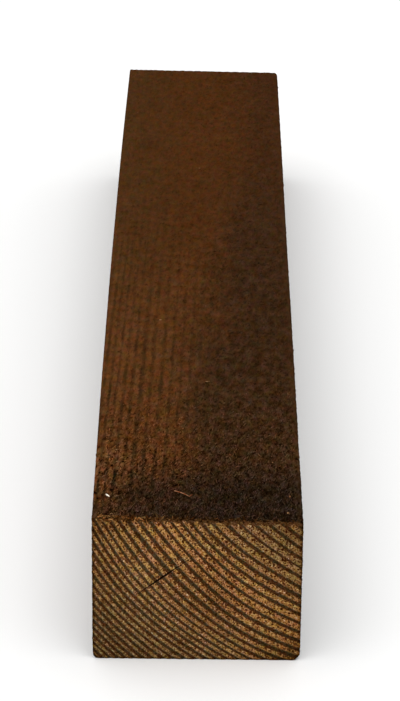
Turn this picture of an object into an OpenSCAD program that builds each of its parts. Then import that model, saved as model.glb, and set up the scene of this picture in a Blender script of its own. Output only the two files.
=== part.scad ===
// Sawn softwood batten: one straight length of timber with eased long edges
// and a short drying check in its near end.
// +X is across the batten, +Y runs along it to the far end and +Z is up.
// The origin is the middle of the underside.

/* [Batten] */
// Width across the wide faces
batten_w = 50; // [30:1:100]
// Thickness at the left side, where it is thickest
batten_t = 38.3; // [32:0.1:75]
// Length from end to end
batten_l = 325; // [100:5:4800]
// Fall of the top face from the left side to the right side
top_fall = 0.6; // [0:0.1:3]

/* [Eased long edges] */
// Radius of the bottom left edge
bottom_left_r = 1.3; // [0.2:0.1:6]
// Radius of the bottom right edge
bottom_right_r = 2.2; // [0.2:0.1:6]
// Radius of the top right edge
top_right_r = 1.4; // [0.2:0.1:6]
// Radius of the top left edge
top_left_r = 0.4; // [0.2:0.1:6]

/* [Drying check in the near end] */
// Length of the check across the end face
check_l = 14.5; // [4:0.5:18]
// Gap at the middle of the check, where it is widest
check_gap = 0.5; // [0.2:0.05:1]
// Distance from the left side to the middle of the check
check_in = 17; // [10:0.5:20]
// Height of the middle of the check above the underside
check_up = 23; // [10:0.5:23]
// Angle of the check from level, rising towards the right
check_rise = 38; // [0:1:90]

/* [Hidden] */
$fn = 96;
wood_brown = [0.33, 0.2, 0.1];

// Corners of the section, anticlockwise from the bottom left, with their radii
// and the way that each one faces into the section
corners = [
    [-batten_w / 2, 0],
    [batten_w / 2, 0],
    [batten_w / 2, batten_t - top_fall],
    [-batten_w / 2, batten_t],
];
corner_r = [bottom_left_r, bottom_right_r, top_right_r, top_left_r];
inward = [[1, 1], [-1, 1], [-1, -1], [1, -1]];

// Radius of the two spheres that meet in a lens as wide as the check's gap
check_sphere_r = (pow(check_l, 2) + pow(check_gap, 2)) / (4 * check_gap);

// Centre of the round of corner i, one radius in from the side and from the face
function round_centre(i) = corners[i] + corner_r[i] * inward[i];

// Ends of the round of corner i, on the side and on the face, in their order round the section
function round_ends(i) =
    let (
        on_side = corners[i] + [0, corner_r[i] * inward[i].y],
        on_face = corners[i] + [corner_r[i] * inward[i].x, 0]
    )
    i % 2 == 0 ? [on_side, on_face] : [on_face, on_side];

// Cross-section: straight sides between the ends of the rounds, and a round at each corner
module section() {
    polygon([for (i = [0 : len(corners) - 1], end = round_ends(i)) end]);
    for (i = [0 : len(corners) - 1])
        translate(round_centre(i)) circle(r = corner_r[i]);
}

// Drying check: a lens that closes to nothing all round its rim, half of it inside the near end.
// Each sphere lies on its side, so that its poles stay clear of the lens.
module drying_check() {
    sphere_out = check_sphere_r - check_gap / 2;
    translate([check_in - batten_w / 2, -batten_l / 2, check_up])
        rotate([0, -check_rise, 0])
            intersection_for(side = [-1, 1])
                translate([0, 0, side * sphere_out])
                    rotate([90, 0, 0])
                        sphere(r = check_sphere_r);
}

// The one piece: the section drawn out along the length, split by the drying check
module batten() {
    color(wood_brown)
        difference() {
            rotate([90, 0, 0])
                linear_extrude(height = batten_l, center = true)
                    section();
            drying_check();
        }
}

batten();
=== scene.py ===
"""Sawn batten: the finish of one rough length of brown-stained softwood, laid out as an add-on."""

import math

import bmesh
import bpy
import numpy as np
from bpy.props import FloatProperty, FloatVectorProperty, IntProperty, PointerProperty
from mathutils import Matrix, Vector, noise


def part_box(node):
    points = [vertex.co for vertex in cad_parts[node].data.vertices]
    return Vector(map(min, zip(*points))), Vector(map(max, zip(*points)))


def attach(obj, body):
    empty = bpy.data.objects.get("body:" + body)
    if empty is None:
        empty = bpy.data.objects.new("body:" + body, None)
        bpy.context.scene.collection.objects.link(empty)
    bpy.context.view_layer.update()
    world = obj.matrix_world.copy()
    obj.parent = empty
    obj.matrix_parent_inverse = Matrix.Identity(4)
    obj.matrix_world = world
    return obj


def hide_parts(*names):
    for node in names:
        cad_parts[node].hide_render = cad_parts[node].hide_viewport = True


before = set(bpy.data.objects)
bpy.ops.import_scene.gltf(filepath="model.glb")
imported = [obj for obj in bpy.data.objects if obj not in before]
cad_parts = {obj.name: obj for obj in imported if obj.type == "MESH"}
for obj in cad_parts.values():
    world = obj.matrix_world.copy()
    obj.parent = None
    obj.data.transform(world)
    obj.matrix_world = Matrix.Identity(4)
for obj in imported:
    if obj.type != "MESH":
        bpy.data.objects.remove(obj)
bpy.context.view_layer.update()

bl_info = {
    "name": "Sawn Batten",
    "version": (1, 0, 0),
    "blender": (4, 5, 0),
    "location": "View3D > Sidebar > Batten",
    "description": "Models a rough sawn, brown-stained softwood batten with its end grain and raised fibres",
    "category": "Object",
}

MM = 0.001
NODE = "batten"
BODY = "root"
BAKE_MAP = "OFBake"
MAP_WIDTH = 0.98
MAP_GAP = 0.006
END_SHARE = 0.47
TINT = "tint"
LOW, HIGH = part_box(NODE)

# Waves that sway the rings: strength, radians per millimetre across, up and along, and start
RING_WAVES = ((1.0, 0.067, 0.197, 0.004, 2.6), (0.65, 0.245, 0.066, -0.007, 1.2))

# Good and bad years: strength, radians per ring and start, and where the swing of the count starts
YEAR_WAVES = ((0.14, 0.942, -11.62), (0.10, 3.491, -3.665))
SWING_START = 1.2

# Late wood: growth per millimetre past a radius, how far inside that counts, and slopes in the ring
LATE_GROWTH = 0.014
LATE_RADIUS = 82
LATE_INSIDE = -8
LATE_START = (-0.40, -0.09)
LATE_END = (0.08, 0.27)

# How woolly the sawn wood is anywhere, at the right and in front, and how far it calms down behind.
# A range is where a change starts and ends, in millimetres across from the middle or along
# from the near end
WOOL, WOOL_RIGHT, WOOL_FRONT, WOOL_CALM = 0.28, 0.44, 0.28, 0.62
WOOLLY_RIGHT = (-14, 12)
WOOLLY_FRONT = (8, 70)
CALM_BACK = (60, 240)

# How far its fibres differ in tone, and how deep the painted shade in the gaps between them is: anywhere,
# where it is woolly, in front and in the near left corner
CRISP, CRISP_WOOL, CRISP_FRONT, CRISP_CORNER = 0.15, 0.10, 0.68, 0.25
CRISP_BACK = (20, 90)
CORNER_ACROSS = (-18, -4)
CORNER_ALONG = (15, 45)

# Relief: coarse and fine tufts per millimetre, the fine ones' share, slant and stray of the saw's marks
TUFTS = (0.9, 0.34, 0.9)
FINE_TUFTS = (2.0, 0.9, 2.0)
FINE_SHARE = 0.6
SAW_SLANT = 0.3
SAW_STRAY = 1.5
SAW_DRIFT = (0.05, 0.05, 0.05)

# Relief left at a long edge, the tufts' share on the ends, and how deep the underside sinks
EDGE_RELIEF = 0.2
END_TUFTS = 0.8
UNDERSIDE_SINK = 0.5

# The check: share of its gap left towards its ends, place and reach of its wide part in half spans,
# and how it wanders per millimetre across and into the wood
HAIRLINE = 0.3
WIDE_AT = -0.15
WIDE_REACH = 0.42
CHECK_WANDER = (0.35, 0.1)

# Depth of tone of the late wood's lines on the sides, of the saw's marks, and of the painted light and shade
# of the clumps of fibres
SIDE_LINES = 0.44
SAW_MARKS = 0.07
CLUMPS = 0.85

# How strongly red, green and blue follow the tone of the stain, of the grit of the end grain, and of a
# fibre that is lighter than the stain about it
SOAK = (0.82, 1.0, 1.40)
GRIT_SOAK = (0.72, 1.0, 1.60)
BLEACH = (0.95, 1.0, 1.18)

# How far red, green and blue stray from patch to patch of the wood
END_HUES = (0.45, 0.30, 1.10)
SAWN_HUES = (0.90, 0.45, 1.50)

# Phase and depth of the late wood where its colours change, and the noise that picks between colours
EDGE_PHASE = (-0.1, 0.1)
EDGE_DEPTH = (0.05, 0.50)
DARK_DEPTH = (0.40, 0.85)
RUST_NOISE = (0.36, 0.64)
PLUM_NOISE = (0.38, 0.62)

# Phase and late wood between which the light bands have their pores
PORE_PHASE = (0.10, 0.25)
PORE_LATE = (0.1, 0.6)

# Specks of the end grain: spacing and radius in millimetres, share of the cells, shift of the mosaic
WIDE_PORES = (0.95, 0.32, 0.75, (0, 0, 0))
FINE_PORES = (0.58, 0.19, 0.60, (7.1, 2.9, 0))
GOLD_FLECKS = (0.80, 0.18, 0.36, (3.3, 5.7, 0))
PALE_FLECKS = (0.75, 0.16, 0.22, (1.7, 8.3, 0))

# Grey corner of the end, along x + z, and its dull corner, along the weights of x and z
GREY_CORNER = (28, 52)
DULL_CORNER = (-26, 12)
DULL_WEIGHTS = (-0.55, -0.75)

# Rusty patch and lighter patch of the end: middle across and up, and where they fade, in millimetres
RUST_MIDDLE = (1, 17.5)
RUST_FADE = (3, 13)
LIGHT_PATCH_MIDDLE = (-9, 22)
LIGHT_PATCH_FADE = (5, 14)

# Fringe along the top of the end, stain that runs over it and painted shadow under the fibres that hang over
# the edge: depth and place across in millimetres, and its raggedness
FRINGE_DEPTH = (0.6, 1.05)
FRINGE_ACROSS = (-17, -9)
FRINGE_RAGGED = 3.4

# Zones of the end that are darker: change of light, then slopes. A slope weighs the places across and
# up, and has its start and its end in millimetres. In order: low right, right, left, low left, high
# right, high left
END_DARKENING_ZONES = (
    (-0.40, (1, -1, 8, 25)),
    (-0.10, (1, 0, 12, 22)),
    (-0.06, (-1, 0, 14, 22)),
    (-0.12, (0, -1, -9, -2), (-1, 0, -4, 20)),
    (-0.18, (1, 1, 48, 60)),
    (-0.22, (-1, 0, 15, 22), (0, 1, 32.5, 35)),
)

# Zones of the long faces that are lighter, with slopes across and along from the near end: the left edge,
# the left part some way in, and the lip of the near edge
LIGHT_ZONES = (
    (0.08, (-1, 0, 15, 23)),
    (0.27, (-1, 0, 8, 20), (0, 1, 12, 22), (0, -1, -44, -28)),
    (0.21, (0, -1, -12, -5), (1, 0, -24, -17), (-1, 0, -6, 4)),
)

# Borders of the stain in millimetres, across from the middle or along from the near end
DARK_RIGHT = (-13, 8)
DARK_BACK = (180, 250)
FRONT_LEFT = (-28, -12)
FRONT_RIGHT = (-6, 8)
FRONT_LIP = (5, 11)
FRONT_BACK = (12, 36)
FAR_LEFT = (-20, -4)
FAR_RIGHT = (4, 22)
FAR_ALONG = (60, 210)
DIM_ALONG = (30, 120)

# How far those borders stray in millimetres, and how they lean
RIGHT_STRAY, RIGHT_LEAN, RIGHT_LEAN_FROM = 26, 0.06, 40
FRONT_STRAY, FRONT_LEAN = 12, 0.12

# Where the lines, the saw's marks, the clumps and the blotches change on the top, in millimetres
TOP_BELOW = (-2.2, -1.2)
LINES_ACROSS = (-16, 12)
LINES_FRONT = (15, 44)
LINES_BACK = (60, 235)
DEEP_LINES = (20, 40)
MARKS_BACK = (120, 280)
CLUMPS_FRONT = (15, 60)
BLOTCHES_FRONT = (40, 100)

# Fibres: crowding towards the near end, arch, sunk share of the radius, share that points up the grain,
# and the spreads of their lengths, girths, curls and warmth
NEAR_CROWDING = 1.7
STRAND_ARCH = 0.6
FIBRE_SUNK = 0.4
FIBRE_FORWARD = 0.65
FIBRE_LENGTHS = 0.25
FIBRE_GIRTHS = (0.6, 1.3)
FIBRE_CURLS = 0.10
FIBRE_WARMTH = 0.07

# Tints: how far chance and clumps part them, the clumps per millimetre, and the darkest and lightest
TINT_CHANCE = 1.15
TINT_CLUMPS = (0.8, 0.35, 0.8)
TINT_RANGE = (0.2, 3.0)

# Torn fibres: crowding to the left, place behind the edge with its spread and drop below the top, turn,
# rise, ranges of length, girth and lift, curl, contrast and warmth, and where they dim to the right
TORN_CROWDING = 1.8
TORN_BACK = (0.12 * MM, 0.28 * MM)
TORN_DROP = 0.7 * MM
TORN_TURN = math.radians(50)
TORN_RISE = (0.25, 0.4)
TORN_LENGTHS = (0.4, 2.2)
TORN_GIRTHS = (0.6, 1.4)
TORN_LIFTS = (0.0, 0.35)
TORN_CURLS = 0.35
TORN_CONTRAST = 0.85
TORN_WARMTH = 0.10
TORN_DIM = (0.08, 0.45)

# Slots of the batten's own mesh
SAWN, END, CHECK = range(3)

# Pale chips on the top in millimetres, with a turn in degrees and a lightness:
# across, along from the middle, length, width, turn, lightness
CHIPS = (
    (-21.7, -151.0, 1.45, 0.47, -49, 1.0),
    (-10.9, -46.7, 0.80, 0.45, 20, 0.26),
    (2.1, -85.4, 1.10, 0.35, 0, 0.30),
    (-0.9, 69.5, 1.10, 0.60, 75, 0.13),
    (-20.3, -126.2, 0.45, 0.30, 10, 0.29),
    (21.3, -158.2, 0.75, 0.50, 60, 0.32),
    (22.0, -149.6, 0.90, 0.45, 80, 0.18),
    (18.2, -131.6, 0.70, 0.35, 90, 0.20),
    (-20.4, -160.4, 0.60, 0.40, 30, 0.34),
    (0.8, -133.9, 0.60, 0.30, 40, 0.22),
)
CHIP_LUMPS = 0.35
CHIP_SOAK = (1.0, 1.45, 1.95)
CHIP_HEIGHT = 0.6
CHIP_LIFT = 0.25
CHIP_SLANT = 0.2

# The splinter and the sprig at its tip: shares of its length and radius, lift, curl and tint
SPLINTER_PARTS = (
    (1.0, 1.0, 0.12, -0.14, (1.0, 1.0, 1.0)),
    (0.2, 0.7, 0.30, 0.20, (0.7, 0.45, 0.35)),
)
SPRIG_TURN = (0.1, 0.9, 0.1)
SPLINTER_START = Vector((-5.7, -148.2, 38.0)) * MM
SPLINTER_END = Vector((-1.4, -151.2, 38.0)) * MM


def colour(name, description, default):
    """A colour setting, in linear light."""
    return FloatVectorProperty(
        name=name, description=description, default=default, size=3, min=0, max=1, subtype="COLOR"
    )


def length(name, description, default):
    """A length setting, in metres."""
    return FloatProperty(
        name=name, description=description, default=default, unit="LENGTH", precision=5
    )


def amount(name, description, default):
    """A whole number setting."""
    return IntProperty(name=name, description=description, default=default, min=0)


def angle(name, description, degrees):
    """An angle setting, given in degrees."""
    return FloatProperty(
        name=name, description=description, default=math.radians(degrees), subtype="ANGLE"
    )


def figure(name, description, default):
    """A plain number setting."""
    return FloatProperty(name=name, description=description, default=default, precision=4)


class BattenBlank(bpy.types.PropertyGroup):
    """Sizes of the sawn length before its grain shows"""

    width: length("Width", "Across the wide faces", HIGH.x - LOW.x)
    thickness: length("Thickness", "At the left side, where it is thickest", HIGH.z - LOW.z)
    length: length("Length", "From end to end", HIGH.y - LOW.y)
    top_fall: length("Top fall", "Drop of the top face from left to right", 0.6 * MM)
    bottom_left: length("Bottom left round", "Radius of that long edge", 1.3 * MM)
    bottom_right: length("Bottom right round", "Radius of that long edge", 2.2 * MM)
    top_right: length("Top right round", "Radius of that long edge", 1.4 * MM)
    top_left: length("Top left round", "Radius of that long edge", 0.4 * MM)
    left_bow: length("Left bow", "How far the left side stands out at mid length", 0.7 * MM)
    cell: length("Cell", "Width of a mesh cell across the grain", 0.4 * MM)
    rows: amount("Rows", "Mesh rows along the grain", 164)
    row_crowding: figure("Row crowding", "Share of the even row pitch left at the near end", 0.26)
    sawn_depth: length("Sawn depth", "Height of the torn grain on the long faces", 0.15 * MM)
    groove_depth: length("Groove depth", "Depth of the late wood's lines on the long faces", 0.10 * MM)
    saw_pitch: length("Saw pitch", "Distance between the marks of the saw", 5.6 * MM)
    saw_depth: length("Saw depth", "Depth of the marks of the saw", 0.05 * MM)
    calm_edge: length("Calm edge", "Strip along each long edge where the relief dies away", 2.6 * MM)
    end_depth: length("End depth", "Height of the relief on the ends", 0.07 * MM)


class DryingCheck(bpy.types.PropertyGroup):
    """Sizes of the drying check in the near end"""

    middle_x: length("Middle across", "From the middle of the batten", -7.4 * MM)
    middle_z: length("Middle height", "From the underside", 23.2 * MM)
    span: length("Span", "Length of the check on the end face", 18.8 * MM)
    gap: length("Gap", "Widest opening of the check", 0.56 * MM)
    depth: length("Depth", "How far the check runs into the wood", 7.2 * MM)
    wander: length("Wander", "How far the check strays from a straight line", 0.16 * MM)
    rise: angle("Rise", "Slope of the check to the right", 38)


class GrowthRings(bpy.types.PropertyGroup):
    """Where the growth rings lie in the section"""

    pith_x: length("Pith across", "Centre of the rings at the near end, from the middle", 56.6 * MM)
    pith_z: length("Pith height", "Centre of the rings, from the underside", 78.1 * MM)
    pith_lean: figure("Pith lean", "Drift of the centre along the batten", 0.0192)
    known_radius: length("Known radius", "Radius at which the ring number is known", 80.0 * MM)
    known_ring: figure("Known ring", "Ring number at that radius", 12.22)
    density: figure("Density", "Rings per millimetre at that radius", 0.508)
    crowding: figure("Crowding", "Rise of the density per millimetre outwards", 0.0040)
    swing: figure("Swing", "Rings by which good and bad years shift the count", 0.18)
    swing_length: length("Swing length", "Radius from one run of good years to the next", 21.6 * MM)
    wobble: figure("Wobble", "Rings by which a ring strays from a true circle", 0.14)
    even_radius: length("Even radius", "Radius inside which the rings are evenly wide", 64.0 * MM)
    even_density: figure("Even density", "Rings per millimetre inside that radius", 0.425)


class FurSettings(bpy.types.PropertyGroup):
    """Fibres that stand up from the wood, and loose bits on it"""

    top_tries: amount("Top tries", "Places tried on the top", 34000)
    side_tries: amount("Side tries", "Places tried on each side", 12000)
    top_stand: figure("Top stand", "Most that a fibre on the top lifts, in its lengths", 0.60)
    side_stand: figure("Side stand", "Most that a fibre on a side lifts, in its lengths", 0.12)
    fibre_length: length("Fibre length", "Middle length of a fibre on the long faces", 1.12 * MM)
    fibre_radius: length("Fibre radius", "Radius of a fibre at its root", 0.125 * MM)
    lean: angle("Lean", "Turn of the fibres away from the grain", 10)
    spread: angle("Spread", "How far the fibres stray from that turn", 18)
    margin: length("Margin", "Strip along each edge with no fibres", 1.4 * MM)
    torn_fibres: amount("Torn fibres", "Along the near top edge", 470)
    torn_length: length("Torn length", "Middle length of a torn fibre", 0.74 * MM)
    torn_radius: length("Torn radius", "Radius of a torn fibre at its root", 0.19 * MM)
    splinter_length: length("Splinter length", "Length of the loose splinter", 5.2 * MM)
    splinter_radius: length("Splinter radius", "Radius of the loose splinter at its root", 0.115 * MM)
    seed: amount("Seed", "Start of the random draws", 7)


class BattenColours(bpy.types.PropertyGroup):
    """Colours of the stained wood"""

    early_gold: colour("Early wood, gold", "Light bands of the end grain", (0.352, 0.174, 0.0430))
    early_rust: colour("Early wood, rust", "Redder patches of the light bands", (0.320, 0.134, 0.0425))
    early_dull: colour("Early wood, dull", "Greyer light bands at the lower left", (0.205, 0.121, 0.0440))
    late_grey: colour("Late wood, grey", "Where a light band slowly turns dark", (0.115, 0.066, 0.030))
    late_edge: colour("Late wood, edge", "Where a dark band ends", (0.088, 0.036, 0.0105))
    late_green: colour("Late wood, green", "Dark bands, greenish", (0.0350, 0.0225, 0.0080))
    late_plum: colour("Late wood, plum", "Dark bands, purplish", (0.0530, 0.0178, 0.0050))
    pore: colour("Pore", "Resin pores in the light bands", (0.0450, 0.0100, 0.0012))
    fleck: colour("Fleck", "Golden cut fibres in the light bands", (0.500, 0.305, 0.090))
    pale_fleck: colour("Fleck, pale", "Pale cut fibres in the light bands", (0.460, 0.295, 0.165))
    stain_warm: colour("Stain, warm", "Left part of the long faces", (0.1085, 0.0394, 0.0113))
    far_left: colour("Stain, far left", "Left of the far part", (0.0690, 0.0270, 0.0080))
    far_middle: colour("Stain, far middle", "Middle of the far part", (0.0745, 0.0263, 0.0072))
    far_right: colour("Stain, far right", "Right of the far part", (0.0560, 0.0213, 0.0074))
    stain_dark: colour("Stain, dark", "Right part of the long faces", (0.0540, 0.0245, 0.0094))
    stain_dim: colour("Stain, dim", "Right part, further back", (0.0470, 0.0206, 0.0082))
    stain_front: colour("Stain, front", "Dark zone next to the near end", (0.0305, 0.0163, 0.0081))
    line: colour("Line", "Late wood where it is cut along the grain", (0.0010, 0.0050, 0.0020))
    torn: colour("Torn fibre", "Fibres torn up along the near edge", (0.185, 0.078, 0.020))
    splinter: colour("Splinter", "Loose orange splinter on the top", (0.500, 0.250, 0.130))
    chip: colour("Chip", "Pale specks of bare wood", (0.930, 0.870, 0.760))


class StageSettings(bpy.types.PropertyGroup):
    """Camera, light and floor"""

    camera_x: length("Camera across", "From the middle of the batten", 0.75 * MM)
    camera_y: length("Camera back", "From the middle of the batten", -761.8 * MM)
    camera_z: length("Camera height", "From the floor", 354.8 * MM)
    pitch: angle("Pitch", "Downward tilt", 24.48)
    yaw: angle("Yaw", "Turn to the left", 0.06)
    roll: angle("Roll", "Turn about the view", 0.61)
    lens: figure("Lens", "Focal length on a 36 mm sensor, in mm", 147.4)
    sky: figure("Sky", "Strength of the white surroundings", 0.92)
    key: FloatProperty(name="Key", description="Power of the softbox", default=16.0, subtype="POWER")
    softbox_width: length("Softbox width", "Width of the softbox", 2.4)
    softbox_height: length("Softbox height", "Height of the softbox", 1.6)
    softbox_place: FloatVectorProperty(
        name="Softbox place",
        description="Middle of the softbox",
        default=(-0.15, -0.7, 2.0),
        subtype="XYZ",
    )
    floor_reach: length("Floor reach", "Half of the side of the floor", 4.0)
    floor: colour("Floor", "Pale floor", (0.95, 0.95, 0.945))


class Tone:
    """One output of a material's nodes, with arithmetic that adds Math nodes behind it."""

    def __init__(self, tree, socket):
        self.tree = tree
        self.socket = socket

    def node(self, kind, settings=None, inputs=None, output=0):
        """Adds any node: its settings first, then the values or links of its sockets."""
        made = self.tree.nodes.new(kind)
        for name, value in (settings or {}).items():
            setattr(made, name, value)
        for name, value in (inputs or {}).items():
            if isinstance(value, Tone):
                self.tree.links.new(value.socket, made.inputs[name])
            else:
                made.inputs[name].default_value = value
        return Tone(self.tree, made.outputs[output])

    def maths(self, operation, *values):
        return self.node("ShaderNodeMath", {"operation": operation}, dict(enumerate(values)))

    def __add__(self, other):
        return self.maths("ADD", self, other)

    def __radd__(self, other):
        return self.maths("ADD", other, self)

    def __sub__(self, other):
        return self.maths("SUBTRACT", self, other)

    def __rsub__(self, other):
        return self.maths("SUBTRACT", other, self)

    def __mul__(self, other):
        return self.maths("MULTIPLY", self, other)

    def __rmul__(self, other):
        return self.maths("MULTIPLY", other, self)

    def __truediv__(self, other):
        return self.maths("DIVIDE", self, other)

    def __rtruediv__(self, other):
        return self.maths("DIVIDE", other, self)


def both(operation, on_arrays):
    """Function of a value that adds a Math node behind a tone, and works on an array as it is."""

    def work(value, *others):
        if isinstance(value, Tone):
            return value.maths(operation, value, *others)
        return on_arrays(value, *others)

    return work


sine = both("SINE", np.sin)
root = both("SQRT", np.sqrt)
whole = both("FLOOR", np.floor)
largest = both("MAXIMUM", np.maximum)


def ease(value, start, end):
    """0 before start, 1 after end and a smooth step between, on arrays or on nodes."""
    if isinstance(value, Tone):
        return value.node(
            "ShaderNodeMapRange",
            {"interpolation_type": "SMOOTHSTEP"},
            {"Value": value, "From Min": start, "From Max": end},
        )
    t = np.clip((value - start) / (end - start), 0, 1)
    return t * t * (3 - 2 * t)


def wane(value, start, end):
    """1 before start, 0 after end and a smooth step between."""
    return 1 - ease(value, start, end)


def ring_count(x, y, z, rings):
    """Number of growth rings from the pith to a point in millimetres, and the point's radius."""
    along = y - LOW.y / MM
    across = x - rings.pith_x / MM - rings.pith_lean * along
    up = z - rings.pith_z / MM
    radius = root(across * across + up * up)
    beyond = radius - rings.known_radius / MM
    outer = largest(beyond, (rings.even_radius - rings.known_radius) / MM)
    swing = sine((outer - SWING_START) * (2 * math.pi * MM / rings.swing_length)) * rings.swing
    sway = sum(
        strength * sine(by_x * x + by_z * z + by_y * along + start)
        for strength, by_x, by_z, by_y, start in RING_WAVES
    )
    count = outer * (outer * rings.crowding + rings.density) + rings.known_ring - swing
    return count + (beyond - outer) * rings.even_density + sway * rings.wobble, radius


def ring_phase(count, radius):
    """Place in the growth ring: 0 in the middle of the dark late wood, less on the side of the pith."""
    ring = whole(count + 0.5)
    good_years = sum(strength * sine(by_ring * ring + start) for strength, by_ring, start in YEAR_WAVES)
    share = 1 + LATE_GROWTH * largest(radius - LATE_RADIUS, LATE_INSIDE) + good_years
    return (count - ring) / share


def late_wood(phase):
    """1 in the dark late wood of each ring and 0 in its early wood, sharper on the outer side."""
    return ease(phase, *LATE_START) * wane(phase, *LATE_END)


def only(items, kind):
    """The items of one kind in the result of a bmesh operator."""
    return [item for item in items if isinstance(item, kind)]


def column(items, name, width=1, kind=float):
    """One attribute of all items of a mesh, as an array."""
    values = np.empty(len(items) * width, kind)
    items.foreach_get(name, values)
    return values


def blank_mesh(blank):
    """Closed box of even cells: a grid for the near end, its copy at the far end and bridged sides."""
    bm = bmesh.new()
    across = round(blank.width / blank.cell)
    up = round(blank.thickness / blank.cell)
    grid = bmesh.ops.create_grid(bm, x_segments=across, y_segments=up, size=0.5)
    stand = Matrix.Rotation(math.pi / 2, 4, "X")
    fit = Matrix.Diagonal((blank.width, 1, blank.thickness, 1))
    place = Matrix.Translation((0, -blank.length / 2, blank.thickness / 2))
    bmesh.ops.transform(bm, matrix=place @ fit @ stand, verts=grid["verts"])
    near = bm.faces[:]
    copy = bmesh.ops.duplicate(bm, geom=bm.verts[:] + bm.edges[:] + near)["geom"]
    far = only(copy, bmesh.types.BMFace)
    bmesh.ops.translate(bm, vec=(0, blank.length, 0), verts=only(copy, bmesh.types.BMVert))
    bmesh.ops.reverse_faces(bm, faces=far)
    for face in near + far:
        face.material_index = END
    rims = [edge for edge in bm.edges if edge.is_boundary]
    for edge in rims:
        edge.smooth = False
    bridge = bmesh.ops.bridge_loops(bm, edges=rims)
    for face in bridge["faces"]:
        face.material_index = SAWN
    bmesh.ops.subdivide_edges(bm, edges=bridge["edges"], cuts=blank.rows - 1, use_grid_fill=True)
    bmesh.ops.recalc_face_normals(bm, faces=bm.faces[:])
    return bm


def round_edges(x, z, blank):
    """Carries the box's corner squares onto the rounds of the long edges."""
    half = blank.width / 2
    for side, level, radius in (
        (-1, -1, blank.bottom_left),
        (1, -1, blank.bottom_right),
        (1, 1, blank.top_right),
        (-1, 1, blank.top_left),
    ):
        centre_x = side * (half - radius)
        centre_z = radius if level < 0 else blank.thickness - radius
        a = (x - centre_x) * side / radius
        b = (z - centre_z) * level / radius
        inside = (a > 0) & (b > 0)
        bend_x = a * np.sqrt(np.maximum(1 - b * b / 2, 0))
        bend_z = b * np.sqrt(np.maximum(1 - a * a / 2, 0))
        x = np.where(inside, centre_x + side * radius * bend_x, x)
        z = np.where(inside, centre_z + level * radius * bend_z, z)
    return x, z


def woolliness(x, along):
    """How furry the sawn wood is, from the place across and along from the near end in millimetres."""
    right = WOOL_RIGHT * ease(x, *WOOLLY_RIGHT)
    front = WOOL_FRONT * wane(along, *WOOLLY_FRONT)
    return (WOOL + right + front) * (1 - WOOL_CALM * ease(along, *CALM_BACK))


def crispness(x, along):
    """How far the fibres differ in tone, and how deep the painted shade between them is, most of all next to
    the near end.
    """
    front = CRISP_FRONT * wane(along, *CRISP_BACK)
    corner = wane(x, *CORNER_ACROSS) * wane(along, *CORNER_ALONG)
    return CRISP + CRISP_WOOL * woolliness(x, along) + front + CRISP_CORNER * corner


def lumps(points, scale, seed):
    """Gradient noise at each point, from about -1 to 1."""
    offset = Vector((seed * 7.1, seed * 3.3, seed * 5.7))
    return np.array([noise.noise(Vector(point) + offset) for point in points * np.array(scale)])


def shape_batten(bm, blank, rings):
    """Crowds the rows towards the near end, rounds the edges and raises the grain."""
    points = np.array([vert.co for vert in bm.verts])
    t = points[:, 1] / blank.length + 0.5
    ends = (t < 1e-6) | (t > 1 - 1e-6)
    t = t * (blank.row_crowding + (1 - blank.row_crowding) * t)
    x, z = round_edges(points[:, 0], points[:, 2], blank)
    fall = blank.top_fall * (x / blank.width + 0.5)
    underside = z < blank.bottom_right
    z = z * (1 - fall / blank.thickness)
    x = x - blank.left_bow * 4 * t * (1 - t) * (0.5 - x / blank.width)
    shaped = np.column_stack([x, (t - 0.5) * blank.length, z])
    for vert, point in zip(bm.verts, shaped):
        vert.co = point
    bm.normal_update()
    normals = np.array([vert.normal for vert in bm.verts])

    mm = shaped / MM
    along = mm[:, 1] + blank.length / MM / 2
    count, radius = ring_count(mm[:, 0], mm[:, 1], mm[:, 2], rings)
    late = late_wood(ring_phase(count, radius))
    wool = woolliness(mm[:, 0], along)
    tufts = lumps(mm, TUFTS, seed=1) + FINE_SHARE * lumps(mm, FINE_TUFTS, seed=2)
    beat = (mm[:, 1] + SAW_SLANT * mm[:, 0]) * MM / blank.saw_pitch
    saw = np.sin(2 * np.pi * beat + SAW_STRAY * lumps(mm, SAW_DRIFT, seed=3))
    sawn = blank.sawn_depth * wool * tufts - blank.groove_depth * late + blank.saw_depth * saw
    from_side = blank.width / 2 - np.abs(x)
    from_face = np.minimum(z, blank.thickness - fall - z)
    from_end = blank.length * np.minimum(t, 1 - t)
    from_edge = np.minimum(np.maximum(from_side, from_face), from_end)
    sawn = sawn * (EDGE_RELIEF + (1 - EDGE_RELIEF) * ease(from_edge, 0, blank.calm_edge))
    grain = blank.end_depth * (END_TUFTS * tufts - late)
    lift = np.where(ends, grain, sawn)
    lift = np.where(underside, np.minimum(lift - UNDERSIDE_SINK * blank.sawn_depth, 0), lift)
    for vert, point in zip(bm.verts, shaped + normals * lift[:, None]):
        vert.co = point


def check_cutter(check, near_y):
    """Thin wandering lens that opens the drying check in the near end."""
    bm = bmesh.new()
    bmesh.ops.create_uvsphere(bm, u_segments=48, v_segments=24, radius=0.5)
    fit = Matrix.Diagonal((check.span, 2 * check.depth, check.gap, 1))
    bmesh.ops.transform(bm, matrix=fit, verts=bm.verts[:])
    for vert in bm.verts:
        off_wide = (2 * vert.co.x / check.span - WIDE_AT) / WIDE_REACH
        vert.co.z *= HAIRLINE + (1 - HAIRLINE) * math.exp(-off_wide ** 2)
        across, inward = vert.co.x / MM * CHECK_WANDER[0], vert.co.y / MM * CHECK_WANDER[1]
        vert.co.z += check.wander * noise.noise(Vector((across, 4.2, inward)))
    turn = Matrix.Rotation(-check.rise, 4, "Y")
    place = Matrix.Translation((check.middle_x, near_y, check.middle_z))
    bmesh.ops.transform(bm, matrix=place @ turn, verts=bm.verts[:])
    for face in bm.faces:
        face.material_index = CHECK
    return bm


def linked(name, data):
    """New object at the origin, linked to the scene."""
    made = bpy.data.objects.new(name, data)
    bpy.context.scene.collection.objects.link(made)
    return made


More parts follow.
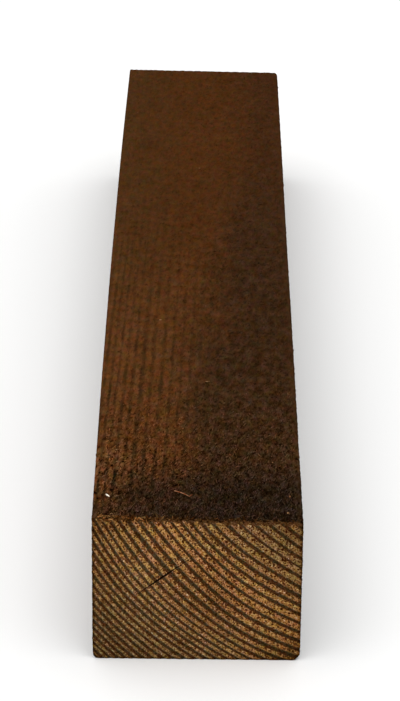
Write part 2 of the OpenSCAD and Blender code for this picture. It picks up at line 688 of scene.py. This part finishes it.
def new_object(name, bm):
    """Smooth mesh object, made from a bmesh that is then freed."""
    for face in bm.faces:
        face.smooth = True
    mesh = bpy.data.meshes.new(name)
    bm.to_mesh(mesh)
    bm.free()
    return linked(name, mesh)


def cut(piece, cutter):
    """Takes the cutter out of the piece for good, and removes the cutter."""
    boolean = piece.modifiers.new("Check", "BOOLEAN")
    boolean.operation = "DIFFERENCE"
    boolean.solver = "EXACT"
    boolean.object = cutter
    seen = piece.evaluated_get(bpy.context.evaluated_depsgraph_get())
    result = bpy.data.meshes.new_from_object(seen)
    piece.modifiers.clear()
    bare = piece.data
    piece.data = result
    bpy.data.meshes.remove(bare)
    bpy.data.objects.remove(cutter)
    result.name = piece.name


def sharpen(mesh, limit):
    """Marks the edges that turn by more than a limit as sharp."""
    bm = bmesh.new()
    bm.from_mesh(mesh)
    for edge in bm.edges:
        if len(edge.link_faces) == 2 and edge.calc_face_angle(0) > limit:
            edge.smooth = False
    bm.to_mesh(mesh)
    bm.free()


def strand(sides, rings):
    """Unit strand along Z with a closed root and a pointed tip, as its places and its faces."""
    bm = bmesh.new()
    bmesh.ops.create_circle(bm, segments=sides, radius=1, cap_ends=True)
    rim = bm.edges[:]
    for ring in range(1, rings + 1):
        grown = bmesh.ops.extrude_edge_only(bm, edges=rim)["geom"]
        tips = only(grown, bmesh.types.BMVert)
        edges = only(grown, bmesh.types.BMEdge)
        rim = [edge for edge in edges if all(vert in tips for vert in edge.verts)]
        height = ring / rings
        width = math.sqrt(1 - height * height)
        for vert in tips:
            vert.co = (vert.co.xy.normalized() * width).to_3d() + Vector((0, 0, height))
    bmesh.ops.pointmerge(bm, verts=tips, merge_co=(0, 0, 1))
    bmesh.ops.recalc_face_normals(bm, faces=bm.faces[:])
    bm.verts.index_update()
    places = np.array([vert.co for vert in bm.verts])
    faces = [[vert.index for vert in face.verts] for face in bm.faces]
    bm.free()
    return places, faces


def unit(vectors):
    """The vectors at a length of one."""
    return vectors / np.linalg.norm(vectors, axis=1, keepdims=True)


def strands(name, shape, roots, ways, ups, lengths, radii, lifts, curls, tints):
    """One object of many strands: each runs from its root along its way, lifts off and curls aside."""
    places, faces = shape
    asides = np.cross(ups, ways)
    t = places[None, :, 2, None]
    rise = lifts[:, None, None] * t * (1 - STRAND_ARCH * t)
    sway = curls[:, None, None] * t * t
    spine = ways[:, None] * t + ups[:, None] * rise + asides[:, None] * sway
    girth = asides[:, None] * places[None, :, 0, None] + ups[:, None] * places[None, :, 1, None]
    points = roots[:, None] + lengths[:, None, None] * spine + radii[:, None, None] * girth
    points[..., 2] = np.maximum(points[..., 2], LOW.z)

    number, each = points.shape[:2]
    starts = range(0, number * each, each)
    mesh = bpy.data.meshes.new(name)
    copies = [[start + i for i in face] for start in starts for face in faces]
    mesh.from_pydata(points.reshape(-1, 3).tolist(), [], copies)
    mesh.shade_smooth()
    opaque = np.column_stack([tints, np.ones(number)])
    layer = mesh.attributes.new(TINT, "FLOAT_COLOR", "POINT")
    layer.data.foreach_set("color", np.repeat(opaque, each, axis=0).ravel())

    # Each strand has its own square of the map, seen from above and leaning, so that no face is edge on
    columns = math.ceil(math.sqrt(number))
    squares = np.column_stack([np.arange(number) % columns, np.arange(number) // columns])
    flat = np.column_stack([0.5 + 0.4 * places[:, 0], 0.15 + 0.7 * places[:, 2] + 0.1 * places[:, 1]])
    spots = ((squares[:, None] + flat[None]) / columns).reshape(-1, 2)
    corners = column(mesh.loops, "vertex_index", kind=int)
    mesh.uv_layers.new(name=BAKE_MAP).data.foreach_set("uv", spots[corners].ravel())
    return linked(name, mesh)


def sow(rng, up, tries, margin):
    """Random places on the long face whose outward way is up, kept where the wood is woolly."""
    share = rng.random((tries, 3))
    share[:, 1] = share[:, 1] ** NEAR_CROWDING
    low = np.array(LOW) + margin
    high = np.array(HIGH) - margin
    places = low + share * (high - low)
    places = np.where(up > 0, HIGH, np.where(up < 0, LOW, places))
    woolly = woolliness(places[:, 0] / MM, (places[:, 1] - LOW.y) / MM)
    return places[rng.random(tries) < woolly]


def tinted(rng, places, spread, warmth):
    """Tints about white: lighter or darker by chance and in clumps, redder where darker, warm or cool."""
    number = len(places)
    chance = TINT_CHANCE * rng.normal(0, 1, number)
    chance = chance + TINT_CHANCE * lumps(places / MM, TINT_CLUMPS, seed=4)
    light = np.clip(np.exp(chance * spread - 0.3 * spread ** 2), *TINT_RANGE)[:, None]
    warm = rng.normal(0, warmth, number)
    hue = np.column_stack([1 + warm, 1 - 0.3 * warm, 1 - warm])
    return np.maximum(light ** np.where(light > 1, BLEACH, SOAK) * hue, 0)


def settle(places):
    """The nearest places on the batten's own surface."""
    batten = bpy.data.objects["sawn_batten"]
    graph = bpy.context.evaluated_depsgraph_get()
    return np.array([batten.closest_point_on_mesh(place, depsgraph=graph)[1] for place in places])


def dress(piece, *finishes):
    """Gives a new piece its finishes and the body that it rides on."""
    for finish in finishes:
        piece.data.materials.append(finish)
    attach(piece, BODY)


def lay_flat(mesh, blank):
    points = column(mesh.vertices, "co", 3).reshape(-1, 3)
    x, y, z = points[column(mesh.loops, "vertex_index", kind=int)].T
    sizes = column(mesh.polygons, "loop_total", kind=int)
    slots = np.repeat(column(mesh.polygons, "material_index", kind=int), sizes)
    normals = column(mesh.polygons, "normal", 3).reshape(-1, 3)
    facing_x, facing_y, facing_z = np.repeat(normals, sizes, axis=0).T

    scale = MAP_WIDTH / blank.length
    level = np.abs(facing_z) > np.abs(facing_x)
    across = np.where(level, x + blank.width / 2, z)
    starts = np.cumsum([MAP_GAP, blank.width * scale, blank.thickness * scale, blank.width * scale])
    strip = np.select([level & (facing_z > 0), ~level & (facing_x > 0), level], [0, 1, 2], 3)
    u = MAP_GAP + (y + blank.length / 2) * scale
    v = starts[strip] + strip * MAP_GAP + across * scale

    big = END_SHARE * MAP_WIDTH / blank.width
    above = starts[3] + 4 * MAP_GAP + blank.thickness * scale
    left = MAP_GAP + (x + blank.width / 2) * big
    end = slots == END
    u = np.where(end, left + 0.5 * (facing_y > 0), u)
    v = np.where(end, above + z * big, v)
    check = slots == CHECK
    u = np.where(check, left, u)
    v = np.where(check, above + blank.thickness * big + MAP_GAP + (y + blank.length / 2) * big, v)
    mesh.uv_layers.new(name=BAKE_MAP).data.foreach_set("uv", np.column_stack([u, v]).ravel())


def new_finish(name, roughness, specular):
    """Material with its shader, and the place on the piece in millimetres."""
    material = bpy.data.materials.new(name)
    material.use_nodes = True
    tree = material.node_tree
    shader = tree.nodes["Principled BSDF"]
    shader.inputs["Roughness"].default_value = roughness
    shader.inputs["Specular IOR Level"].default_value = specular
    metres = Tone(tree, tree.nodes.new("ShaderNodeTexCoord").outputs["Object"])
    place = metres.node("ShaderNodeVectorMath", {"operation": "SCALE"}, {0: metres, "Scale": 1 / MM})
    return material, shader, place


def connect(shader, **sockets):
    """Links tones to the shader's sockets, which are named with _ for a space."""
    for name, tone in sockets.items():
        tone.tree.links.new(tone.socket, shader.inputs[name.replace("_", " ")])


def axes(place):
    """The three parts of a place."""
    split = place.tree.nodes.new("ShaderNodeSeparateXYZ")
    place.tree.links.new(place.socket, split.inputs[0])
    return [Tone(place.tree, socket) for socket in split.outputs]


def cloud(place, across, along=None, detail=2.0, rough=0.5, turn=0.0, output="Fac"):
    """Noise from 0 to 1, with cells of a width across and a length along the grain in millimetres."""
    mapped = place.node(
        "ShaderNodeMapping",
        {"vector_type": "TEXTURE"},
        {"Vector": place, "Rotation": (0, 0, turn), "Scale": (across, along or across, across)},
    )
    inputs = {"Vector": mapped, "Scale": 1, "Detail": detail, "Roughness": rough}
    return mapped.node("ShaderNodeTexNoise", {}, inputs, output)


def mottle(place, across, along=None, soft=0.2, **settings):
    """Noise pulled apart into patches of 0 and 1, whose borders are soft by a share."""
    return ease(cloud(place, across, along, **settings), 0.5 - soft, 0.5 + soft)


def patchy_hue(place, strays, across, along=None):
    """Colour about white, in patches whose red, green and blue stray from 1 by their own shares."""
    patches = cloud(place, across, along, output="Color")
    middle = [1 - stray / 2 for stray in strays]
    return patches.node(
        "ShaderNodeVectorMath", {"operation": "MULTIPLY_ADD"}, {0: patches, 1: strays, 2: middle}
    )


def dots(section, spacing, radius, share, shift):
    """Round dots on the section in millimetres, in a share of the cells of a mosaic."""
    moved = section.node("ShaderNodeMapping", {}, {"Vector": section, "Location": shift})
    cells = moved.node(
        "ShaderNodeTexVoronoi", {"voronoi_dimensions": "2D"}, {"Vector": moved, "Scale": 1 / spacing}
    )
    pick = axes(Tone(cells.tree, cells.socket.node.outputs["Color"]))
    chosen = wane(pick[0], share - 0.02, share)
    reach = cells * spacing / (radius * (0.7 + 0.6 * pick[1]))
    return wane(reach, 0.7, 1.1) * chosen


def zoned(first, second, zones):
    """Factor on the light: each zone changes it by its share, where all of its slopes are past."""
    factor = 1
    for change, *slopes in zones:
        for by_first, by_second, start, end in slopes:
            change = change * ease(by_first * first + by_second * second, start, end)
        factor = factor * (1 + change)
    return factor


def distance(x, z, middle, flatten=1.0):
    """Distance on the section from a middle, with the heights flattened by a share."""
    across = x - middle[0]
    up = z - middle[1]
    return root(across * across + flatten * up * up)


def mix(factor, first, second):
    """Colour between two colours, which are tones or settings."""
    ends = [end if isinstance(end, Tone) else (*end, 1) for end in (first, second)]
    return factor.node(
        "ShaderNodeMix", {"data_type": "RGBA"}, {0: factor, 6: ends[0], 7: ends[1]}, output=2
    )


def tint(place):
    """Tint that a mesh carries."""
    return place.node("ShaderNodeAttribute", {"attribute_name": TINT})


def dye(tone, other):
    """One colour multiplied by another."""
    return tone.node("ShaderNodeVectorMath", {"operation": "MULTIPLY"}, {0: tone, 1: other})


def soak(tone, factor, powers=SOAK):
    """Stained colour made lighter or darker by a factor, redder where it is darker."""
    kept = factor.maths("MAXIMUM", factor, 0.02)
    parts = [kept.maths("POWER", kept, power) for power in powers]
    return dye(tone, tone.node("ShaderNodeCombineXYZ", {}, dict(enumerate(parts))))


def bump(height, reach):
    """Normal of a surface that stands up by a height from 0 to 1 times a reach in metres."""
    return height.node("ShaderNodeBump", {}, {"Height": height, "Distance": reach, "Strength": 1.0})


def ring_colours(place, phase, late, rust, dull, colours):
    """Early wood, gold, rusty or dull, and late wood that starts grey, turns dark and ends brown."""
    x, _, z = axes(place)
    rusty = ease(cloud(place, 3.0, detail=3.0) + 0.3 * rust, *RUST_NOISE)
    early = mix(rusty, colours.early_gold, colours.early_rust)
    grey_corner = 0.8 * ease(x + z, *GREY_CORNER)
    early = mix(largest(dull, grey_corner), early, colours.early_dull)
    edge = mix(ease(phase, *EDGE_PHASE), colours.late_grey, colours.late_edge)
    plum = ease(cloud(place, 1.1) + 0.7 * phase, *PLUM_NOISE)
    dark = mix(plum, colours.late_green, colours.late_plum)
    depth = late * (0.78 + 0.22 * mottle(place, 3.5))
    return mix(ease(depth, *DARK_DEPTH), mix(ease(depth, *EDGE_DEPTH), early, edge), dark)


def stain_and_shadow_fringe(place, wood, colours, blank):
    """End grain with a ragged dark fringe along its top edge: stain that runs over it, and painted shadow
    under the fibres that hang over it.
    """
    x, _, z = axes(place)
    top = (blank.thickness - blank.top_fall / 2) / MM - blank.top_fall / blank.width * x
    ragged = FRINGE_RAGGED * (cloud(place, 0.6) - 0.5)
    # Painted shadow under the overhanging fibres, mixed with the stain that runs over the edge
    fringe = wane(top - z + ragged, *FRINGE_DEPTH) * ease(x, *FRINGE_ACROSS)
    return mix(0.3 * fringe, mix(fringe, wood, colours.late_edge), colours.stain_dark)


def end_darkening(x, z, rust, blank):
    """Factor on the end's colour: darker within about a millimetre of its sides and bottom, in its darker
    zones and in the rusty patch, and lighter in a patch left of the middle.
    """
    corner = blank.bottom_right / MM
    past_side = largest(x.maths("ABSOLUTE", x) - (blank.width / MM / 2 - corner), 0)
    past_base = largest(corner - z, 0)
    rim = corner - root(past_side * past_side + past_base * past_base)
    light_patch = 1 + 0.13 * wane(distance(x, z, LIGHT_PATCH_MIDDLE, 0.36), *LIGHT_PATCH_FADE)
    # Darker near the sides and the bottom and in the listed zones, lighter in one patch
    return (0.35 + 0.65 * ease(rim, 0.1, 0.9)) * zoned(x, z, END_DARKENING_ZONES) * (1 - 0.16 * rust) * light_patch


def end_grain(rings, colours, blank):
    """Growth rings seen end on: light early wood with pores and cut fibres, and dark late wood."""
    material, shader, place = new_finish("end_grain", roughness=0.85, specular=0.0)
    x, y, z = axes(place)
    section = place.node("ShaderNodeCombineXYZ", {}, {"X": x, "Y": z})
    count, radius = ring_count(x, y, z, rings)
    phase = ring_phase(count + 0.24 * (cloud(place, 0.7) - 0.5), radius)
    late = late_wood(phase)
    dull = ease(DULL_WEIGHTS[0] * x + DULL_WEIGHTS[1] * z, *DULL_CORNER)
    rust = wane(distance(x, z, RUST_MIDDLE), *RUST_FADE)
    wood = ring_colours(place, phase, late, rust, dull, colours)

    light = wane(late, *PORE_LATE) * (1 - 0.3 * dull)
    first_grown = 0.45 + 0.55 * ease(phase, *PORE_PHASE)
    pores = light * largest(first_grown * dots(section, *WIDE_PORES), 0.9 * dots(section, *FINE_PORES))
    wood = mix(light * dots(section, *GOLD_FLECKS) * 0.80, wood, colours.fleck)
    wood = mix(light * dots(section, *PALE_FLECKS) * 0.70, wood, colours.pale_fleck)
    wood = stain_and_shadow_fringe(place, mix(pores, wood, colours.pore), colours, blank)

    grit = mottle(place, 0.32, soft=0.25, detail=1.0)
    wood = soak(dye(wood, patchy_hue(place, END_HUES, 1.5)), end_darkening(x, z, rust, blank))
    height = grit * 0.4 + (1 - late) * 0.4 - pores * 0.4
    connect(shader, Base_Color=soak(wood, 0.31 + 1.47 * grit, GRIT_SOAK), Normal=bump(height, 0.2 * MM))
    return material


def stain(place, colours):
    """Colour of the preservative: warm at the left, dark at the right and next to the near end."""
    x, y, _ = axes(place)
    along = y - LOW.y / MM
    drift = cloud(place, 22, 50, detail=3.0) - 0.5
    across = x + RIGHT_STRAY * drift - RIGHT_LEAN * largest(along - RIGHT_LEAN_FROM, 0)
    right = ease(across, *DARK_RIGHT) * wane(along, *DARK_BACK)
    reach = 0.88 * ease(x, *FRONT_LEFT) + 0.12 * ease(x, *FRONT_RIGHT)
    reach = largest(reach, 0.6 * wane(along, *FRONT_LIP))
    front = wane(along - FRONT_LEAN * x + FRONT_STRAY * drift, *FRONT_BACK) * reach
    far = mix(ease(x, *FAR_LEFT), colours.far_left, colours.far_middle)
    far = mix(ease(x, *FAR_RIGHT), far, colours.far_right)
    wood = mix(ease(along, *FAR_ALONG), colours.stain_warm, far)
    dark = mix(ease(along, *DIM_ALONG), colours.stain_dark, colours.stain_dim)
    return mix(front, mix(right, wood, dark), colours.stain_front)


def grained_stain(place, rings, fur, colours, blank):
    """Stain and its tone: the lines of the late wood, painted light and shade of the clumps of fibres, and
    the marks of the saw.
    """
    x, y, z = axes(place)
    along = y - LOW.y / MM
    clump = mottle(place, 2.2, 5.5, detail=3.0, rough=0.6, turn=-fur.lean)
    count, radius = ring_count(x, y, z, rings)
    late = late_wood(ring_phase(count + 0.2 * clump + 0.02, radius))
    top = ease(z - blank.thickness / MM, *TOP_BELOW)
    left = 1 - 0.75 * ease(x, *LINES_ACROSS)
    clear = ease(along - x, *LINES_FRONT) * (1 - 0.92 * ease(along, *LINES_BACK))
    broken = 0.45 + 1.1 * mottle(place, 2.5, 12)
    depth = 0.37 + 0.19 * wane(along, *DEEP_LINES)
    lines = late * (SIDE_LINES + top * (depth * left * clear * broken - SIDE_LINES))
    beat = (along + SAW_SLANT * x + 3.0 * clump) * (2 * math.pi * MM / blank.saw_pitch)
    marks = SAW_MARKS * (1 - 0.7 * ease(along, *MARKS_BACK)) * sine(beat)
    # Painted light and shade of the clumps of fibres, lighter and darker with the clump noise
    painted_clump_shading = CLUMPS * woolliness(x, along) * (0.5 + 0.5 * ease(along, *CLUMPS_FRONT)) * (clump - 0.5)
    blotch = cloud(place, 5, 13, detail=3.0, rough=0.6) - 0.5
    patchy = 1 + 0.5 * ease(along, *BLOTCHES_FRONT) * blotch
    hue = patchy_hue(place, SAWN_HUES, 1.5, 3.0)
    wood = mix(lines, dye(stain(place, colours), hue), colours.line)
    return wood, (1 + marks + painted_clump_shading) * zoned(x, along, LIGHT_ZONES) * patchy, clump


def sawn_face(rings, fur, colours, blank):
    """Long faces: stained wood that shows between its torn fibres, with painted shade in the gaps between
    them.
    """
    material, shader, place = new_finish("sawn_face", roughness=0.95, specular=0.0)
    x, y, _ = axes(place)
    wood, tone, clump = grained_stain(place, rings, fur, colours, blank)
    stroke = mottle(place, 0.5, 1.7, soft=0.22, rough=0.6, turn=-fur.lean)
    # Painted shade in the gaps between the fibres
    gap = ease(cloud(place, 0.9, 1.8, rough=0.6, turn=-fur.lean), 0.52, 0.70)
    contrast = 1.2 * crispness(x, y - LOW.y / MM)
    tone = tone * (1 + contrast * (0.9 * stroke - 0.45 - 0.75 * gap))
    height = 0.4 * clump + 0.45 * stroke - 0.3 * gap
    connect(shader, Base_Color=soak(wood, tone), Normal=bump(height, 0.6 * MM))
    return material


def fur_fibre(rings, fur, colours, blank):
    """Stained fibre, lighter or darker from one strand to the next."""
    material, shader, place = new_finish("fur_fibre", roughness=0.95, specular=0.0)
    # The tone carries the painted light and shade of the clumps of fibres
    wood, tone, _ = grained_stain(place, rings, fur, colours, blank)
    connect(shader, Base_Color=dye(soak(wood, tone), tint(place)))
    return material


def torn_fibre(colours):
    """Fibre torn up by the saw, tan or brown."""
    material, shader, place = new_finish("torn_fibre", roughness=0.9, specular=0.0)
    wood = mix(mottle(place, 0.5), colours.late_edge, colours.torn)
    connect(shader, Base_Color=dye(wood, tint(place)))
    return material


def bare_wood(name, pale):
    """Dry unstained wood of a colour, for a chip or a splinter."""
    material, shader, place = new_finish(name, roughness=0.8, specular=0.05)
    wood = mix(mottle(place, 1.2, soft=0.15), [part * part for part in pale], pale)
    connect(shader, Base_Color=dye(wood, tint(place)))
    return material


def check_wall(colours):
    """Torn wood inside the drying check, in dark stain colours that also stand in for the shade in the
    narrow gap.
    """
    material, shader, place = new_finish("check_wall", roughness=0.95, specular=0.0)
    streak = cloud(place, 0.7, 3.3, detail=3.0)
    # Dark stain colours, partly painted shade of the deep narrow check
    connect(shader, Base_Color=mix(streak, colours.late_plum, colours.stain_front))
    return material


class BATTEN_OT_sawn_batten(bpy.types.Operator):
    """Model the sawn length of timber with its drying check"""

    bl_idname = "batten.sawn_batten"
    bl_label = "Sawn Batten"

    def execute(self, context):
        scene = context.scene
        rings, colours, blank = scene.batten_rings, scene.batten_colours, scene.batten_blank
        bm = blank_mesh(blank)
        shape_batten(bm, blank, rings)
        piece = new_object("sawn_batten", bm)
        cutter = new_object("check_cutter", check_cutter(scene.batten_check, LOW.y))
        finishes = (
            sawn_face(rings, scene.batten_fur, colours, blank),
            end_grain(rings, colours, blank),
            check_wall(colours),
        )
        dress(piece, *finishes)
        for finish in finishes:
            cutter.data.materials.append(finish)
        cut(piece, cutter)
        sharpen(piece.data, math.radians(60))
        lay_flat(piece.data, blank)
        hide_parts(NODE)
        return {"FINISHED"}


class BATTEN_OT_raised_fibres(bpy.types.Operator):
    """Raise the woolly fibres on the top and the sides"""

    bl_idname = "batten.raised_fibres"
    bl_label = "Raised Fibres"

    def execute(self, context):
        scene = context.scene
        fur = scene.batten_fur
        finish = fur_fibre(scene.batten_rings, fur, scene.batten_colours, scene.batten_blank)
        rng = np.random.default_rng(fur.seed)
        shape = strand(sides=3, rings=2)
        grain = np.array((0, 1, 0))
        for name, up, tries, stand in (
            ("top_fibres", (0, 0, 1), fur.top_tries, fur.top_stand),
            ("left_fibres", (-1, 0, 0), fur.side_tries, fur.side_stand),
            ("right_fibres", (1, 0, 0), fur.side_tries, fur.side_stand),
        ):
            up = np.array(up, float)
            roots = settle(sow(rng, up, tries, fur.margin)) - FIBRE_SUNK * fur.fibre_radius * up
            number = len(roots)
            crisp = crispness(roots[:, 0] / MM, (roots[:, 1] - LOW.y) / MM)
            ups = np.tile(up, (number, 1))
            turn = rng.normal(fur.lean, fur.spread, number)[:, None]
            ways = np.cos(turn) * grain + np.sin(turn) * np.cross(grain, ups)
            ways = ways * rng.choice((-1, 1), number, p=(FIBRE_FORWARD, 1 - FIBRE_FORWARD))[:, None]
            piece = strands(
                name,
                shape,
                roots,
                ways,
                ups,
                lengths=fur.fibre_length * rng.lognormal(0, FIBRE_LENGTHS, number),
                radii=fur.fibre_radius * rng.uniform(*FIBRE_GIRTHS, number),
                lifts=stand * rng.random(number),
                curls=rng.normal(0, FIBRE_CURLS, number),
                tints=tinted(rng, roots, crisp, FIBRE_WARMTH),
            )
            dress(piece, finish)
        return {"FINISHED"}


class BATTEN_OT_torn_edge(bpy.types.Operator):
    """Tear up tan and brown fibres along the near top edge"""

    bl_idname = "batten.torn_edge"
    bl_label = "Torn Edge"

    def execute(self, context):
        fur = context.scene.batten_fur
        rng = np.random.default_rng(fur.seed + 1)
        number = fur.torn_fibres
        share = rng.random(number) ** TORN_CROWDING
        across = LOW.x + fur.margin + (HIGH.x - LOW.x - 2 * fur.margin) * share
        back = rng.normal(*TORN_BACK, number)
        drop = rng.uniform(0, TORN_DROP, number)
        roots = settle(np.column_stack([across, LOW.y + back, HIGH.z - drop]))
        turn = rng.normal(0, TORN_TURN, number)
        inward = np.where((rng.random(number) < 0.7 - 0.4 * share) | (share < 0.04), 1, -1)
        rise = rng.normal(*TORN_RISE, number)
        ways = unit(np.column_stack([inward * np.cos(turn), np.sin(turn), rise]))
        asides = unit(np.cross(ways, np.array((0, -0.4, 1))))
        dim = 0.95 - 0.66 * ease(share, *TORN_DIM)
        spread = np.clip(rng.lognormal(0, 0.4, number), *TORN_LENGTHS)
        piece = strands(
            "torn_edge",
            strand(sides=4, rings=4),
            roots,
            ways,
            np.cross(asides, ways),
            lengths=fur.torn_length * spread * (1.3 - 0.6 * share),
            radii=fur.torn_radius * rng.uniform(*TORN_GIRTHS, number),
            lifts=rng.uniform(*TORN_LIFTS, number),
            curls=rng.normal(0, TORN_CURLS, number),
            tints=tinted(rng, roots, TORN_CONTRAST, TORN_WARMTH) * dim[:, None],
        )
        dress(piece, torn_fibre(context.scene.batten_colours))
        return {"FINISHED"}


class BATTEN_OT_pale_chips(bpy.types.Operator):
    """Drop the pale chips of bare wood on the top"""

    bl_idname = "batten.pale_chips"
    bl_label = "Pale Chips"

    def execute(self, context):
        bm = bmesh.new()
        tones = bm.verts.layers.float_color.new(TINT)
        for across, along, size, width, turn, lightness in CHIPS:
            spot = settle([Vector((across * MM, along * MM, HIGH.z))])[0]
            verts = bmesh.ops.create_icosphere(bm, subdivisions=3, radius=0.5)["verts"]
            for vert in verts:
                vert.co *= 1 + CHIP_LUMPS * noise.noise(vert.co * 3 + Vector((along, across, 0)))
                vert[tones] = (*(lightness ** power for power in CHIP_SOAK), 1)
            fit = Matrix.Diagonal((size * MM, width * MM, CHIP_HEIGHT * width * MM, 1))
            place = Matrix.Translation(Vector(spot) + Vector((0, 0, CHIP_LIFT * width * MM)))
            slant = Matrix.Rotation(math.radians(turn), 4, "Z") @ Matrix.Rotation(CHIP_SLANT, 4, "X")
            bmesh.ops.transform(bm, matrix=place @ slant @ fit, verts=verts)
        piece = new_object("pale_chips", bm)
        dress(piece, bare_wood("chip_wood", context.scene.batten_colours.chip))
        return {"FINISHED"}


class BATTEN_OT_loose_splinter(bpy.types.Operator):
    """Lay the curved orange splinter on the top"""

    bl_idname = "batten.loose_splinter"
    bl_label = "Loose Splinter"

    def execute(self, context):
        fur = context.scene.batten_fur
        way = np.array((SPLINTER_END - SPLINTER_START).normalized())
        up = np.array((0, 0, 1.0))
        foot = settle([SPLINTER_START])[0] + 2 * fur.splinter_radius * up
        tip = foot + fur.splinter_length * (0.9 * way + 0.035 * up - 0.11 * np.cross(up, way))
        lengths, radii, lifts, curls, tints = map(np.array, zip(*SPLINTER_PARTS))
        piece = strands(
            "loose_splinter",
            strand(sides=8, rings=16),
            np.array([foot, tip]),
            unit(np.array([way, way + SPRIG_TURN])),
            np.array([up, up]),
            lengths=fur.splinter_length * lengths,
            radii=fur.splinter_radius * radii,
            lifts=lifts,
            curls=curls,
            tints=tints,
        )
        dress(piece, bare_wood("splinter_wood", context.scene.batten_colours.splinter))
        return {"FINISHED"}


class BATTEN_OT_stage(bpy.types.Operator):
    """Add the floor, the soft light and the camera"""

    bl_idname = "batten.stage"
    bl_label = "Stage"

    def execute(self, context):
        scene = context.scene
        settings = scene.batten_stage
        bm = bmesh.new()
        bmesh.ops.create_grid(bm, x_segments=8, y_segments=8, size=settings.floor_reach)
        floor = new_object("floor", bm)
        material, shader, _ = new_finish("pale_floor", roughness=0.7, specular=0.1)
        shader.inputs["Base Color"].default_value = (*settings.floor, 1)
        floor.data.materials.append(material)

        world = bpy.data.worlds.new("soft_room")
        world.use_nodes = True
        background = world.node_tree.nodes["Background"]
        background.inputs["Color"].default_value = (1, 1, 1, 1)
        background.inputs["Strength"].default_value = settings.sky
        scene.world = world
        scene.view_settings.view_transform = "Standard"

        lamp = bpy.data.lights.new("softbox", "AREA")
        lamp.shape = "RECTANGLE"
        lamp.size = settings.softbox_width
        lamp.size_y = settings.softbox_height
        lamp.energy = settings.key
        softbox = linked("softbox", lamp)
        softbox.location = settings.softbox_place
        softbox.rotation_euler = (-softbox.location).to_track_quat("-Z", "Y").to_euler()

        lens = bpy.data.cameras.new("camera")
        lens.lens = settings.lens
        camera = linked("camera", lens)
        turn = Matrix.Rotation(settings.yaw, 4, "Z")
        tilt = Matrix.Rotation(math.pi / 2 - settings.pitch, 4, "X")
        roll = Matrix.Rotation(settings.roll, 4, "Z")
        place = Matrix.Translation((settings.camera_x, settings.camera_y, settings.camera_z))
        camera.matrix_world = place @ turn @ tilt @ roll
        scene.camera = camera
        return {"FINISHED"}


class BATTEN_PT_panel(bpy.types.Panel):
    """Lists the steps that make the batten"""

    bl_label = "Sawn Batten"
    bl_idname = "BATTEN_PT_panel"
    bl_space_type = "VIEW_3D"
    bl_region_type = "UI"
    bl_category = "Batten"

    def draw(self, context):
        for step in STEPS:
            self.layout.operator(step.bl_idname)


SETTINGS = {
    "batten_blank": BattenBlank,
    "batten_check": DryingCheck,
    "batten_rings": GrowthRings,
    "batten_fur": FurSettings,
    "batten_colours": BattenColours,
    "batten_stage": StageSettings,
}
STEPS = (
    BATTEN_OT_sawn_batten,
    BATTEN_OT_raised_fibres,
    BATTEN_OT_torn_edge,
    BATTEN_OT_pale_chips,
    BATTEN_OT_loose_splinter,
    BATTEN_OT_stage,
)


def register():
    for name, group in SETTINGS.items():
        bpy.utils.register_class(group)
        setattr(bpy.types.Scene, name, PointerProperty(type=group))
    for cls in (*STEPS, BATTEN_PT_panel):
        bpy.utils.register_class(cls)


def unregister():
    for cls in (BATTEN_PT_panel, *reversed(STEPS)):
        bpy.utils.unregister_class(cls)
    for name, group in reversed(SETTINGS.items()):
        delattr(bpy.types.Scene, name)
        bpy.utils.unregister_class(group)


def main():
    register()
    bpy.ops.batten.sawn_batten()
    bpy.ops.batten.raised_fibres()
    bpy.ops.batten.torn_edge()
    bpy.ops.batten.pale_chips()
    bpy.ops.batten.loose_splinter()
    bpy.ops.batten.stage()


if __name__ == "__main__":
    main()
